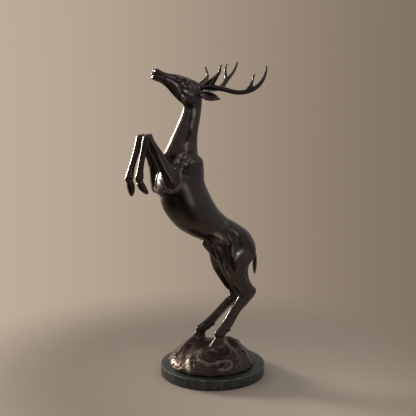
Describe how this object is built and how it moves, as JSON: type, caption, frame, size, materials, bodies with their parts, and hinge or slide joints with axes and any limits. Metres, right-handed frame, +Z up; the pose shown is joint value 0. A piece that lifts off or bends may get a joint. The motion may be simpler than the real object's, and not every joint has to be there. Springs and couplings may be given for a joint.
{
  "type": "stag statue",
  "caption": "Rearing stag with branched antlers, cast in bronze together with the domed rock under its hooves, on a round slab of dark marble.",
  "frame": {"origin": "centre of the slab's underside, where the statue rests on a surface", "axes": "+Z up; the stag faces -X and its left side faces -Y; its middle plane is the XZ plane"},
  "size_m": [0.265, 0.2, 0.5927],
  "materials": {
    "bronze": "dark brown patina, waxed to a soft shine",
    "marble": "honed dark green-grey marble with faint pale veins"
  },
  "bodies": {
    "root": {"stag_on_rock": "bronze", "marble_base": "marble"}
  },
  "joints": []
}
